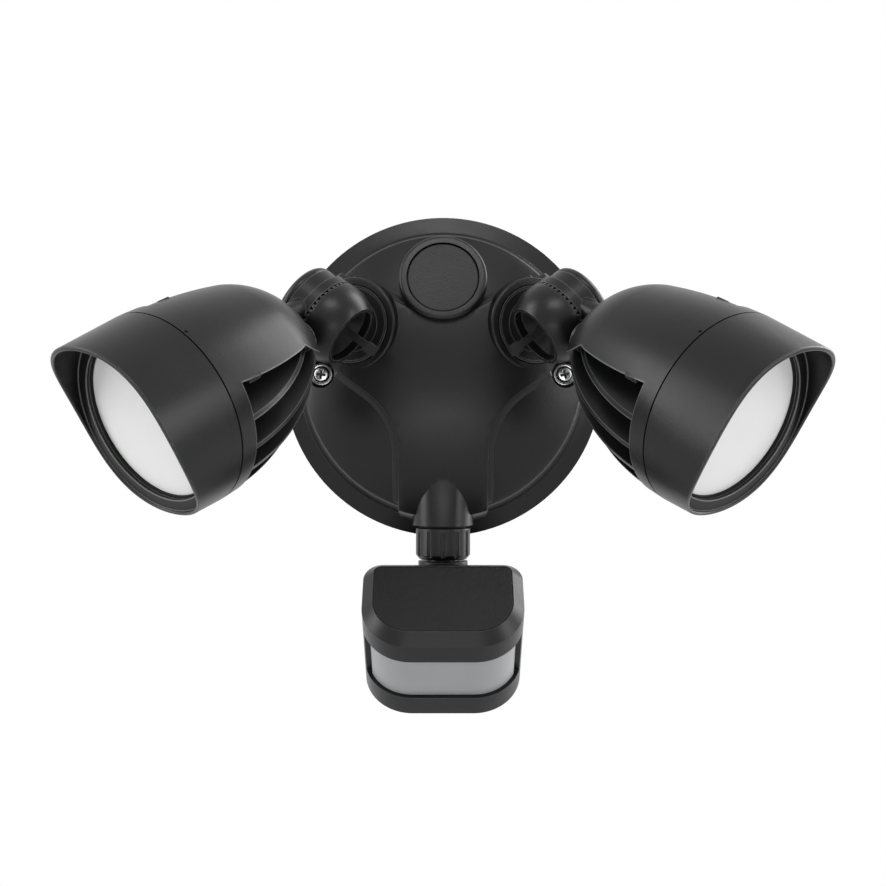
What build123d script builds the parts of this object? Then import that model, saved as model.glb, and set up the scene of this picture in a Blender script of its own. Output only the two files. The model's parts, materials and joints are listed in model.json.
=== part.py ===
from build123d import *
import os
from math import cos, radians, sin, sqrt

os.makedirs("parts", exist_ok=True)

# Twin head floodlight with a motion sensor, millimetres.
# The wall is the plane y = 0, the light stands out from it towards -Y, and +Z is up.
# Only the left head is drawn: the right one is its mirror image about the plane x = 0.

# Wall canopy
screw_spacing = 88.9  # two screws of a round wall box
canopy_radius = 60.4
gasket_thickness = 1.5
gasket_width = 5.0
rim_depth = 5.0  # front of the flange at its outer edge
flange_depth = 7.0  # front of the flange at the foot of the body
flange_width = 6.4
body_radius = canopy_radius - flange_width  # foot of the raised body
wall_draft = 3.2
shoulder_radius = body_radius - wall_draft  # where its side wall turns into the dome
shoulder_depth = 22.0
crown_depth = 35.9  # middle of the dome, in the sunk fields
shoulder_round = 1.4
foot_fillet = 1.0
canopy_wall = 2.5
land_step = 1.6  # the Y-shaped land stands this far above the fields
land_round = 0.7
rim_split = 20.2  # the side wall ends here, behind the dome's shoulder

# Outline of the land, seen from the front
stem_half_width = 16.4  # foot of the Y, between the lower fields
hip_height = -29.2  # where the foot's edges start to curve out
hip_radius = 27.1
arm_angle = 35.7  # lower edge of the arms, from level
ridge_angle = 28.6  # upper edge of the arms, from level

# Round blank cap in the top field
cap_drop = 26.5  # centre of the cap, from the canopy's top edge
cap_height = canopy_radius - cap_drop
cap_lean = 13.0  # the cap looks up a little, like the dome there
cap_radius = 12.7
cap_ring_radius = 15.8
cap_depth = 34.6  # face of the cap
cap_thickness = 3.0
cap_ring_lip = 0.5
cap_ring_round = 1.3
cap_gap = 0.3

# Screws into the wall box
screw_radius = 2.08
screw_neck = 1.7  # plain neck inside the canopy
screw_hole = 2.4
screw_head_radius = 2.55
screw_head_height = 1.5
screw_seat_depth = 21.5
screw_reach = 18.0  # free end behind the wall face
screw_well_radius = 5.1
screw_post_radius = 7.6
washer_radius = 4.1
washer_width = 0.75
washer_thickness = 0.9
screw_seal = 0.6  # rubber inside the washer
seal_bore = 2.0

# Power supply inside the canopy
driver_width = 54.0
driver_height = 32.0
driver_thickness = 16.0
driver_back_depth = 5.5
driver_centre = 4.0
driver_round = 2.0
driver_post_radius = 3.0
driver_post_spacing = 36.0

# Boss and turret of the left head
boss_inset = 27.7  # centre of the boss, from the canopy's side
boss_x = boss_inset - canopy_radius
boss_z = 17.4
boss_depth = 31.3  # centre of the boss face
boss_lean = 20.0  # boss axis, turned outwards from straight ahead
boss_radius = 16.9
boss_lip = 0.8  # raised ring round the turret
boss_round = 1.0
boss_thickness = 5.6
turret_radius = 13.9
turret_gap = 0.4
turret_top = 1.0
turret_thickness = 2.0
turret_rim = 0.9
turret_dish = 0.6
seal_thickness = 0.8
seal_inner = 8.0
stem_radius = 6.0
stem_clearance = 0.06
stem_bore = 3.6
stem_tail = 10.4
turret_nut_radius = 9.4
turret_nut_height = 3.4
nut_gap = 0.1

# Knuckle: the ball half belongs to the turret, the drum half to the head
knuckle_height = 18.8  # tilt axis above the boss face
pan_rest = 36.4  # tilt axis, turned down from level
tilt_rest = 31.0  # head axis, tilted down from the boss axis
parting = -1.7  # parting plane along the tilt axis
parting_gap = 0.3
ball_radius = 14.1
ball_length = 12.0
ball_end_radius = 11.2
ball_middle = (ball_end_radius**2 + ball_length**2 - ball_radius**2) / (2 * ball_length)
ball_swell = sqrt(ball_radius**2 + ball_middle**2)  # sphere through both ends of the ball
recess_radius = 10.1
recess_depth = 6.0
recess_floor_radius = 6.6
saddle_radius = 9.8  # stalk of the ball on the turret disc
saddle_height = 3.6
tooth_count = 44
tooth_width = 1.0
tooth_depth = 0.9
band_width = 3.3
drum_radius = 13.2
drum_length = 8.2
knuckle_cap_length = 3.4
knuckle_cap_round = 2.4
bolt_radius = 3.0
bolt_clearance = 0.05
bolt_pocket_radius = 6.4
bolt_pocket_depth = 4.6
bolt_nut_radius = 5.6
bolt_nut_height = 3.2
bolt_head = 1.0
key_width = 2.4
key_drop = 2.6  # the key's bar lies below the tilt axis
key_length = 15.4  # end of the bar along the tilt axis
key_block = 3.6

# Lamp head, measured along its axis from the tilt axis
head_shift = 1.35  # head axis, beside the boss axis along the tilt axis
seam = 77.1  # joint between the finned housing and the visor
head_radius = 31.2
dome_length = 54.7
dome_bend = 33.3  # where the dome starts to close
dome_draw = 3.1
dome_bend_radius = head_radius - dome_draw
tail_radius = 9.4  # flat end of the dome
neck_radius = 6.0
neck_gap = 0.8  # neck clear of the ball
arm_half_width = 9.0
arm_thickness = 7.4
arm_round = 3.6
front_band = 5.8  # plain ring behind the seam
fin_middle = 29.2
fin_middle_drop = 4.8
fin_middle_radius = head_radius - fin_middle_drop
fin_rear = 52.0
fin_rear_drop = 16.8
fin_rear_radius = head_radius - fin_rear_drop
fin_front_drop = 0.4
fin_front_radius = head_radius - fin_front_drop
fin_top_drop = 15.5
fin_top = head_radius - fin_top_drop  # first fin below the smooth dome
fin_pitch = 9.2
fin_thickness = 1.5
fin_count = 5
core_half = 10.0  # solid web between the two finned flanks
ceiling_drop = 7.0
ceiling_front = head_radius - ceiling_drop
ceiling_fall = 3.0
ceiling_length = 37.4  # lower edge of the smooth dome
pocket_length = 43.5  # where it meets the first fin
tail_level = 6.0
tab_drop = 2.2  # small tab under the ceiling of each top gap
tab_length = 4.4
tab_width = 9.6
tab_back = 11.8
notch_size = 1.0  # index notch at the crown, behind the seam
notch_depth = 0.5

# Visor and what it holds, measured from the seam
visor_wall = 1.5
visor_taper = 1.45
seam_gap = 0.5  # open groove in front of the seam
visor_low = 8.8
visor_low_quarter = 10.6
visor_middle = 17.0
visor_high_quarter = 22.9
visor_high = 24.4
visor_tip = 23.9
visor_rim_round = 0.45
lens_inset = 5.0
lens_opening = head_radius - lens_inset
ledge_front = 7.9
ledge_thickness = 1.4
glass_thickness = 2.0
glass_gasket = 0.8
bore_inset = 3.3
visor_bore = head_radius - bore_inset
spigot_wall = 1.0
spigot_depth = 3.0
slip_gap = 0.2
chamber_depth = 4.2
chamber_inset = 3.8
chamber_radius = head_radius - chamber_inset
board_thickness = 1.6
reflector_wall = 1.0
reflector_throat = 17.0
led_size = 3.0
led_height = 0.8
led_inner_ring = 5.0
led_inner_count = 5
led_outer_ring = 11.5
led_outer_count = 10
board_screw_inset = 4.9
board_screw_ring = chamber_radius - board_screw_inset
board_screw_head = 2.4
board_screw_radius = 1.4
board_screw_length = 3.0
board_screw_count = 3

# Neck of the sensor under the canopy
neck_depth = 19.0  # the neck's upright axis, from the wall
hood_radius = 11.1
hood_overhang = 1.2
hood_bottom = -body_radius - hood_overhang
hood_top = -30.0
spigot_radius = 7.7
spigot_length = 11.6
spigot_bottom = hood_bottom - spigot_length
socket_radius = 6.0
socket_top = -46.0
socket_chamber = 8.6
neck_washer_radius = 8.9
neck_washer_height = 1.0
lock_nut_radius = 10.0
lock_nut_height = 11.3
lock_nut_top = hood_bottom - neck_washer_height - nut_gap
lock_nut_bottom = lock_nut_top - lock_nut_height
lock_nut_fit = 0.06
lock_nut_taper = 1.6
lock_nut_flutes = 12
flute_radius = 1.0
sensor_stem_radius = 5.94
sensor_stem_top = -42.0
sensor_stem_bore = 3.2
collar_radius = 9.1
collar_gap = 0.8
collar_height = 1.5
collar_top = lock_nut_bottom - collar_gap
collar_bottom = collar_top - collar_height
clip_radius = 8.0
clip_thickness = 1.2

# Sensor, tilted about a pin behind it
sensor_tilt = 43.5  # the sensor looks down by this much
panel_back_depth = 41.0  # rear edge of its top panel
panel_rise = 1.7  # rear edge of the panel above the collar's foot
panel_back_z = collar_bottom + panel_rise
sensor_width = 56.0
panel_length = 28.8
sensor_chamfer = 3.75
sensor_front_radius = 17.2
sensor_rear_radius = 6.8
cover_height = 12.0
window_height = 20.7
lip_height = 10.8
foot_round = 1.6
cover_wall = 2.4
panel_thickness = 0.9
panel_inset = 0.2
window_back = 20.5  # the window reaches back to here from the panel's rear edge
window_inset = 1.4
window_wall = 1.5
window_gap = 1.4
pir_radius = 4.6
pir_height = 4.4
sensor_board_width = 36.0
sensor_board_height = 16.0
sensor_board_thickness = 1.6
dial_radius = 4.0
dial_gap = 0.3
dial_height = 2.6
dial_sunk = 3.0
dial_spacing = 20.0
dial_back = 13.0
dial_slot = 1.2
hinge_drop = 4.3
hinge_z = collar_bottom - hinge_drop
hinge_pin_radius = 1.5
hinge_fit = 0.05
lug_radius = 4.1
lug_half_width = 3.4
ear_gap = 0.3
ear_thickness = 3.5
pin_head = 2.4
pin_head_height = 1.0

# Directions of the left head
boss_axis = Vector(-sin(radians(boss_lean)), -cos(radians(boss_lean)), 0)
level_axis = Vector(cos(radians(boss_lean)), -sin(radians(boss_lean)), 0)
tilt_axis = level_axis * cos(radians(pan_rest)) - Vector(0, 0, sin(radians(pan_rest)))
droop_axis = tilt_axis.cross(boss_axis)
head_axis = boss_axis * cos(radians(tilt_rest)) + droop_axis * sin(radians(tilt_rest))
crown_axis = boss_axis * sin(radians(tilt_rest)) - droop_axis * cos(radians(tilt_rest))

boss_centre = Vector(boss_x, -boss_depth, boss_z)
pivot = boss_centre + boss_axis * knuckle_height
head_origin = pivot + tilt_axis * head_shift

boss_plane = Plane(origin=boss_centre, x_dir=tilt_axis, z_dir=boss_axis)
knuckle_section = Plane(origin=pivot, x_dir=boss_axis, z_dir=boss_axis.cross(tilt_axis))
ball_section = Plane(origin=pivot, x_dir=droop_axis, z_dir=droop_axis.cross(tilt_axis))
head_section = Plane(origin=head_origin, x_dir=crown_axis, z_dir=tilt_axis)
head_across = Plane(origin=head_origin, x_dir=crown_axis, z_dir=head_axis)
tilt_line = Axis(pivot, knuckle_section.y_dir)
head_line = Axis(head_origin, head_axis)

# Directions of the sensor: its plane lies on the top panel, with y to the rear
sensor_up = Vector(0, -sin(radians(sensor_tilt)), cos(radians(sensor_tilt)))
sensor_rear = Vector(0, cos(radians(sensor_tilt)), sin(radians(sensor_tilt)))
panel_back = Vector(0, -panel_back_depth, panel_back_z)
sensor_plane = Plane(origin=panel_back, x_dir=(1, 0, 0), z_dir=sensor_up)
sensor_side = Plane(origin=panel_back, x_dir=sensor_rear, z_dir=(1, 0, 0))
hinge = Vector(0, -neck_depth, hinge_z)
hinge_back = (hinge - panel_back).dot(sensor_rear)
hinge_up = (hinge - panel_back).dot(sensor_up)
neck_plane = Plane(origin=(0, -neck_depth, 0), x_dir=(1, 0, 0), z_dir=(0, 0, 1))


def save(part, name):
    part.label = name
    export_step(part, f"parts/{name}.step")


def save_pair(part, name):
    save(part, f"left_{name}")
    save(mirror(part, about=Plane.YZ), f"right_{name}")


# Half section of the canopy, with the body raised by a step over its whole surface
def canopy_section(step):
    crown = -(crown_depth + step)
    shoulder = (shoulder_radius + step, -(shoulder_depth + step))
    with BuildSketch(Plane.XY) as section:
        with BuildLine():
            dome = TangentArc((0, crown), shoulder, tangent=(1, 0))
            Polyline(
                dome @ 1,
                (body_radius + step, -flange_depth),
                (canopy_radius, -rim_depth),
                (canopy_radius, -gasket_thickness),
                (0, -gasket_thickness),
                (0, crown),
            )
        make_face()
        fillet(section.vertices().sort_by_distance(shoulder)[0], shoulder_round)
        fillet(section.vertices().sort_by_distance((body_radius + step, -flange_depth))[0], foot_fillet)
    return section


# The Y-shaped land: the raised body, cut to the outline between the three sunk fields
with BuildPart() as land:
    add(canopy_section(land_step).sketch)
    revolve(axis=Axis.Y)
    reach = 2 * canopy_radius
    with BuildSketch(Plane.XZ) as land_outline:
        Circle(body_radius + land_step)
        ridge_tip = Vector(0, cap_height) + Vector(-sin(radians(ridge_angle)), -cos(radians(ridge_angle))) * (
            cap_ring_radius - land_step / 2
        )
        ridge_rise = (reach + ridge_tip.X) * sin(radians(ridge_angle)) / cos(radians(ridge_angle))
        with BuildLine():
            Polyline(
                (-reach, ridge_tip.Y + ridge_rise),
                (ridge_tip.X, ridge_tip.Y),
                (-ridge_tip.X, ridge_tip.Y),
                (reach, ridge_tip.Y + ridge_rise),
                close=True,
            )
        make_face(mode=Mode.SUBTRACT)
        for side in (-1, 1):
            hip = (side * stem_half_width, hip_height)
            hip_turn = radians(90 - arm_angle)
            arm = (
                side * (stem_half_width + hip_radius * (1 - cos(hip_turn))),
                hip_height + hip_radius * sin(hip_turn),
            )
            arm_rise = (reach - abs(arm[0])) * sin(radians(arm_angle)) / cos(radians(arm_angle))
            with BuildLine():
                Line((side * stem_half_width, -reach), hip)
                TangentArc(hip, arm, tangent=(0, 1))
                Polyline(
                    arm,
                    (side * reach, arm[1] + arm_rise),
                    (side * reach, -reach),
                    (side * stem_half_width, -reach),
                )
            make_face(mode=Mode.SUBTRACT)
    extrude(amount=reach, mode=Mode.INTERSECT)
    fillet(land.faces().sort_by(Axis.Y)[0].edges(), land_round)

cap_plane = Plane(
    origin=(0, -cap_depth, cap_height),
    x_dir=(1, 0, 0),
    z_dir=(0, -cos(radians(cap_lean)), sin(radians(cap_lean))),
)

with BuildPart() as casting:
    add(canopy_section(0).sketch)
    revolve(axis=Axis.Y)
    add(land.part)
    # Hollow back
    with BuildSketch(Plane.XY):
        with BuildLine():
            inside = TangentArc(
                (0, canopy_wall - crown_depth),
                (shoulder_radius - canopy_wall, canopy_wall - shoulder_depth),
                tangent=(1, 0),
            )
            Polyline(
                inside @ 1,
                (body_radius - canopy_wall, 0),
                (0, 0),
                (0, canopy_wall - crown_depth),
            )
        make_face()
    revolve(axis=Axis.Y, mode=Mode.SUBTRACT)
    # Bosses of the two heads, with a seat for the turret and a bore for its stem
    for twin in (boss_plane, Plane(
        origin=(-boss_x, -boss_depth, boss_z),
        x_dir=(-tilt_axis.X, tilt_axis.Y, tilt_axis.Z),
        z_dir=(-boss_axis.X, boss_axis.Y, boss_axis.Z),
    )):
        with BuildSketch(Plane(origin=twin.origin, x_dir=twin.x_dir, z_dir=-twin.y_dir)) as collar:
            with Locations((boss_radius / 2, boss_lip - boss_thickness / 2)):
                Rectangle(boss_radius, boss_thickness)
            fillet(collar.vertices().group_by(Axis.X)[-1].sort_by(Axis.Y)[-1], boss_round)
        revolve(axis=Axis(twin.origin, twin.z_dir))
        with BuildSketch(twin.offset(turret_top - turret_thickness - seal_thickness)):
            Circle(turret_radius + turret_gap)
        extrude(amount=boss_thickness, mode=Mode.SUBTRACT)
        with BuildSketch(twin.offset(-boss_thickness)):
            Circle(stem_radius + stem_clearance)
        extrude(amount=2 * boss_thickness, mode=Mode.SUBTRACT)
        with BuildSketch(twin.offset(boss_lip - boss_thickness)):
            Circle(turret_nut_radius + turret_gap)
        extrude(amount=-stem_tail, mode=Mode.SUBTRACT)
    # Ring of the blank cap
    with BuildSketch(Plane(origin=cap_plane.origin, x_dir=cap_plane.x_dir, z_dir=-cap_plane.y_dir)) as ring:
        with Locations((cap_ring_radius / 2, cap_ring_lip - cap_thickness)):
            Rectangle(cap_ring_radius, 2 * cap_thickness)
        fillet(ring.vertices().group_by(Axis.X)[-1].sort_by(Axis.Y)[-1], cap_ring_round)
    revolve(axis=Axis(cap_plane.origin, cap_plane.z_dir))
    with BuildSketch(cap_plane.offset(-cap_thickness)):
        Circle(cap_radius + cap_gap)
    extrude(amount=2 * cap_thickness, mode=Mode.SUBTRACT)
    # Wells and posts of the wall screws, and the posts of the power supply
    with BuildSketch(Plane.XZ.offset(gasket_thickness)):
        with GridLocations(screw_spacing, 0, 2, 1):
            Circle(screw_post_radius)
    extrude(amount=screw_seat_depth - gasket_thickness)
    with BuildSketch(Plane.XZ.offset(screw_seat_depth)):
        with GridLocations(screw_spacing, 0, 2, 1):
            Circle(screw_well_radius)
    extrude(amount=crown_depth, mode=Mode.SUBTRACT)
    with BuildSketch(Plane.XZ):
        with GridLocations(screw_spacing, 0, 2, 1):
            Circle(screw_hole)
    extrude(amount=crown_depth, mode=Mode.SUBTRACT)
    with BuildSketch(Plane.XZ.offset(driver_back_depth + driver_thickness)):
        with Locations((0, driver_centre)):
            with GridLocations(driver_post_spacing, 0, 2, 1):
                Circle(driver_post_radius)
    extrude(until=Until.NEXT)
    # Hood over the sensor's neck, its threaded spigot and socket
    with BuildSketch(neck_plane.offset(hood_bottom)):
        Circle(hood_radius)
    extrude(amount=hood_top - hood_bottom)
    with BuildSketch(neck_plane.offset(spigot_bottom)):
        Circle(spigot_radius)
    extrude(amount=hood_bottom - spigot_bottom)
    with BuildSketch(neck_plane.offset(spigot_bottom)):
        Circle(socket_radius)
    extrude(amount=hood_top - spigot_bottom, mode=Mode.SUBTRACT)
    with BuildSketch(neck_plane.offset(socket_top)):
        Circle(socket_chamber)
    extrude(amount=hood_top - socket_top, mode=Mode.SUBTRACT)

# The flange with the side wall is a piece of its own, and so is the stretch at the neck's hood
with BuildPart() as rim_zone:
    with BuildSketch(Plane.XZ):
        Circle(2 * canopy_radius)
        Circle(shoulder_radius - canopy_wall, mode=Mode.SUBTRACT)
        with Locations((0, -2 * canopy_radius)):
            Rectangle(2 * hood_radius + 2 * canopy_wall, 4 * canopy_radius, mode=Mode.SUBTRACT)
    extrude(amount=rim_split)

with BuildPart() as neck_zone:
    with BuildSketch(Plane.XZ):
        with Locations((0, hood_top - 2 * canopy_radius)):
            Rectangle(2 * hood_radius + 2 * canopy_wall, 4 * canopy_radius)
    extrude(amount=2 * crown_depth)

with BuildPart() as canopy:
    add(casting.part)
    add(rim_zone.part, mode=Mode.SUBTRACT)
    add(neck_zone.part, mode=Mode.SUBTRACT)
save(canopy.part, "canopy")

with BuildPart() as canopy_neck:
    add(casting.part)
    add(neck_zone.part, mode=Mode.INTERSECT)
save(canopy_neck.part, "canopy_neck")

with BuildPart() as canopy_rim:
    add(casting.part)
    add(rim_zone.part, mode=Mode.INTERSECT)
save(canopy_rim.part, "canopy_rim")

with BuildPart() as wall_gasket:
    with BuildSketch(Plane.XZ):
        Circle(canopy_radius - gasket_thickness)
        Circle(canopy_radius - gasket_thickness - gasket_width, mode=Mode.SUBTRACT)
    extrude(amount=gasket_thickness)
save(wall_gasket.part, "wall_gasket")

with BuildPart() as blank_cap:
    with BuildSketch(cap_plane.offset(-cap_thickness)):
        Circle(cap_radius)
    extrude(amount=cap_thickness)
    chamfer(blank_cap.edges().group_by(Axis.Y)[0], cap_gap)
save(blank_cap.part, "blank_cap")

with BuildPart() as screw_washers:
    with BuildSketch(Plane.XZ.offset(screw_seat_depth)):
        with GridLocations(screw_spacing, 0, 2, 1):
            Circle(washer_radius)
            Circle(washer_radius - washer_width, mode=Mode.SUBTRACT)
    extrude(amount=washer_thickness)
save(screw_washers.part, "screw_washers")

with BuildPart() as screw_seals:
    with BuildSketch(Plane.XZ.offset(screw_seat_depth)):
        with GridLocations(screw_spacing, 0, 2, 1):
            Circle(washer_radius - washer_width)
            Circle(seal_bore, mode=Mode.SUBTRACT)
    extrude(amount=screw_seal)
save(screw_seals.part, "screw_seals")

with BuildPart() as wall_screws:
    with BuildSketch(Plane.XZ.offset(-screw_reach)):
        with GridLocations(screw_spacing, 0, 2, 1):
            Circle(screw_radius)
    extrude(amount=screw_reach)
    with BuildSketch(Plane.XZ):
        with GridLocations(screw_spacing, 0, 2, 1):
            Circle(screw_neck)
    extrude(amount=screw_seat_depth + screw_seal)
    with BuildSketch(Plane.XZ.offset(screw_seat_depth + screw_seal)):
        with GridLocations(screw_spacing, 0, 2, 1):
            Circle(screw_head_radius)
    extrude(amount=screw_head_height, taper=12)
    with BuildSketch(Plane.XZ.offset(screw_seat_depth + screw_seal + screw_head_height)):
        with GridLocations(screw_spacing, 0, 2, 1):
            Rectangle(screw_head_radius, screw_head_height / 2)
            Rectangle(screw_head_height / 2, screw_head_radius)
    extrude(amount=-screw_head_height / 2, mode=Mode.SUBTRACT)
save(wall_screws.part, "wall_screws")

with BuildPart() as led_driver:
    with BuildSketch(Plane.XZ.offset(driver_back_depth)):
        with Locations((0, driver_centre)):
            RectangleRounded(driver_width, driver_height, driver_round)
    extrude(amount=driver_thickness)
save(led_driver.part, "led_driver")

# Turret: disc, hollow stem and the ball half of the knuckle
with BuildPart() as turret:
    with BuildSketch(boss_plane.offset(turret_top - turret_thickness)):
        Circle(turret_radius)
    extrude(amount=turret_thickness)
    with BuildSketch(boss_plane.offset(turret_top)):
        Circle(turret_radius - turret_rim)
    extrude(amount=-turret_dish, mode=Mode.SUBTRACT)
    with BuildSketch(boss_plane.offset(-stem_tail)):
        Circle(stem_radius)
    extrude(amount=stem_tail)
    with BuildSketch(boss_plane):
        Circle(saddle_radius)
    extrude(amount=knuckle_height - ball_radius / 2)
    with BuildSketch(ball_section):
        with BuildLine():
            belly = ThreePointArc(
                (ball_radius, parting),
                (ball_swell, parting + ball_middle),
                (ball_end_radius, parting + ball_length),
            )
            Polyline(belly @ 1, (0, parting + ball_length), (0, parting), (ball_radius, parting))
        make_face()
    revolve(axis=tilt_line)
    # The stalk is cut back beside the drum
    with BuildSketch(boss_plane.offset(saddle_height)):
        with Locations((parting - saddle_radius, 0)):
            Rectangle(2 * saddle_radius, 3 * saddle_radius)
    extrude(amount=knuckle_height - saddle_height, mode=Mode.SUBTRACT)
    # Dished recess in the ball's end
    with BuildSketch(ball_section):
        with BuildLine():
            Polyline(
                (0, parting + ball_length + recess_depth),
                (recess_radius, parting + ball_length + recess_depth),
                (recess_radius, parting + ball_length - recess_depth / 2),
                (recess_floor_radius, parting + ball_length - recess_depth),
                (0, parting + ball_length - recess_depth),
                close=True,
            )
        make_face()
    revolve(axis=tilt_line, mode=Mode.SUBTRACT)
    # Tooth gaps along the parting edge
    with BuildSketch(Plane(origin=pivot + tilt_axis * parting, x_dir=boss_axis, z_dir=tilt_axis)):
        with PolarLocations(ball_radius, tooth_count):
            Rectangle(2 * tooth_depth, tooth_width)
    extrude(amount=tooth_width, mode=Mode.SUBTRACT)
    # Bore of the tilt bolt and the cable way through the stem
    with BuildSketch(Plane(origin=pivot + tilt_axis * parting, x_dir=boss_axis, z_dir=tilt_axis)):
        Circle(bolt_radius)
    extrude(amount=ball_length, mode=Mode.SUBTRACT)
    with BuildSketch(boss_plane.offset(-stem_tail)):
        Circle(stem_bore)
    extrude(amount=stem_tail + saddle_height, mode=Mode.SUBTRACT)
save_pair(turret.part, "turret")

with BuildPart() as turret_seal:
    with BuildSketch(boss_plane.offset(turret_top - turret_thickness - seal_thickness)):
        Circle(turret_radius)
        Circle(seal_inner, mode=Mode.SUBTRACT)
    extrude(amount=seal_thickness)
save_pair(turret_seal.part, "turret_seal")

with BuildPart() as turret_nut:
    with BuildSketch(boss_plane.offset(boss_lip - boss_thickness - nut_gap)):
        RegularPolygon(turret_nut_radius, 6)
        Circle(stem_radius, mode=Mode.SUBTRACT)
    extrude(amount=-turret_nut_height)
save_pair(turret_nut.part, "turret_nut")

drum_face = parting - parting_gap
drum_end = drum_face - drum_length

# Tilt bolt with its flat key, clamping the two halves of the knuckle
with BuildPart() as tilt_bolt:
    key_foot = parting + ball_length - recess_depth
    with BuildSketch(knuckle_section):
        with BuildLine():
            Polyline(
                (0, drum_end + bolt_pocket_depth - bolt_nut_height - nut_gap),
                (bolt_radius, drum_end + bolt_pocket_depth - bolt_nut_height - nut_gap),
                (bolt_radius, key_foot),
                (key_drop + key_width, key_foot),
                (key_drop + key_width, key_foot + bolt_head),
                (0, key_foot + bolt_head),
                close=True,
            )
        make_face()
    revolve(axis=tilt_line)
    with BuildSketch(knuckle_section.offset(-key_width / 2)):
        with Locations((-key_drop - key_width / 2, (key_foot + bolt_head + key_length) / 2)):
            Rectangle(key_width, key_length - key_foot)
    extrude(amount=key_width)
    with BuildSketch(knuckle_section.offset(-key_block / 2)):
        with Locations((-key_drop - key_width / 2, key_length + key_block / 2)):
            Rectangle(key_block, key_block)
    extrude(amount=key_block)
save_pair(tilt_bolt.part, "tilt_bolt")

with BuildPart() as tilt_nut:
    with BuildSketch(
        Plane(
            origin=pivot + tilt_axis * (drum_end + bolt_pocket_depth - nut_gap),
            x_dir=boss_axis,
            z_dir=-tilt_axis,
        )
    ):
        RegularPolygon(bolt_nut_radius, 6)
        Circle(bolt_radius, mode=Mode.SUBTRACT)
    extrude(amount=bolt_nut_height)
save_pair(tilt_nut.part, "tilt_nut")

with BuildPart() as knuckle_cap:
    with BuildSketch(Plane(origin=pivot + tilt_axis * drum_end, x_dir=boss_axis, z_dir=-tilt_axis)):
        Circle(drum_radius)
    extrude(amount=knuckle_cap_length)
    fillet(knuckle_cap.edges().sort_by(tilt_line)[0], knuckle_cap_round)
save_pair(knuckle_cap.part, "knuckle_cap")

# Smooth dome on top of the housing and the plain ring behind the seam
fin_floor = fin_top + fin_thickness / 2
with BuildPart() as dome:
    with BuildSketch(head_section):
        with BuildLine():
            side_curve = TangentArc(
                (head_radius, seam),
                (dome_bend_radius, seam - dome_bend),
                tangent=(0, -1),
            )
            end_curve = TangentArc(
                side_curve @ 1,
                (tail_radius, seam - dome_length),
                tangent=side_curve % 1,
            )
            Polyline(
                end_curve @ 1,
                (0, seam - dome_length),
                (0, seam),
                (head_radius, seam),
            )
        make_face()
    revolve(axis=head_line)
    with BuildSketch(head_section):
        with BuildLine():
            Polyline(
                (ceiling_front, seam - front_band),
                (ceiling_front - ceiling_fall, seam - ceiling_length),
                (fin_floor, seam - pocket_length),
                (tail_level, seam - dome_length - neck_gap),
                (-2 * head_radius, seam - dome_length - neck_gap),
                (-2 * head_radius, seam - front_band),
                close=True,
            )
        make_face()
    extrude(amount=2 * head_radius, both=True, mode=Mode.SUBTRACT)

# Rear housing: finned core and dome, one casting
with BuildPart() as rear_housing:
    with BuildSketch(head_section):
        with BuildLine():
            fin_curve = ThreePointArc(
                (fin_front_radius, seam - front_band),
                (fin_middle_radius, seam - fin_middle),
                (fin_rear_radius, seam - fin_rear),
            )
            Polyline(
                fin_curve @ 1,
                (tail_radius, seam - dome_length),
                (0, seam - dome_length),
                (0, seam - front_band),
                fin_curve @ 0,
            )
        make_face()
    revolve(axis=head_line)
    for flank in (-1, 1):
        with BuildSketch(head_section.offset(flank * core_half)):
            for fin in range(fin_count):
                gap_centre = fin_top - fin_pitch * (fin + 0.5)
                with Locations((gap_centre, seam - front_band - dome_length / 2)):
                    Rectangle(fin_pitch - fin_thickness, dome_length)
            top_gap = head_radius - fin_floor
            with Locations((fin_floor + top_gap / 2, seam - front_band - dome_length / 2)):
                Rectangle(top_gap, dome_length)
        extrude(amount=flank * head_radius, mode=Mode.SUBTRACT)
    add(dome.part)
    for flank in (-1, 1):
        with BuildSketch(head_section.offset(flank * core_half)):
            with Locations((ceiling_front - tab_drop / 2, seam - tab_back)):
                Rectangle(tab_drop, tab_length)
        extrude(amount=flank * tab_width)
    crown_edge = head_origin + crown_axis * (head_radius - notch_depth)
    with BuildSketch(Plane(origin=crown_edge, x_dir=head_axis, z_dir=crown_axis)):
        with Locations((seam - notch_size, 0)):
            Rectangle(notch_size, notch_size)
    extrude(amount=2 * notch_depth, mode=Mode.SUBTRACT)
    # Chamber of the light source, with the seat of the visor's spigot
    with BuildSketch(head_across.offset(seam - chamber_depth)):
        Circle(chamber_radius)
    extrude(amount=chamber_depth, mode=Mode.SUBTRACT)
    with BuildSketch(head_across.offset(seam - spigot_depth - slip_gap)):
        Circle(visor_bore + spigot_wall + slip_gap)
    extrude(amount=spigot_depth + slip_gap, mode=Mode.SUBTRACT)
    with BuildSketch(head_across.offset(seam - chamber_depth)):
        with PolarLocations(board_screw_ring, board_screw_count):
            Circle(board_screw_radius)
    extrude(amount=board_thickness - board_screw_length, mode=Mode.SUBTRACT)
save_pair(rear_housing.part, "rear_housing")

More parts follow.
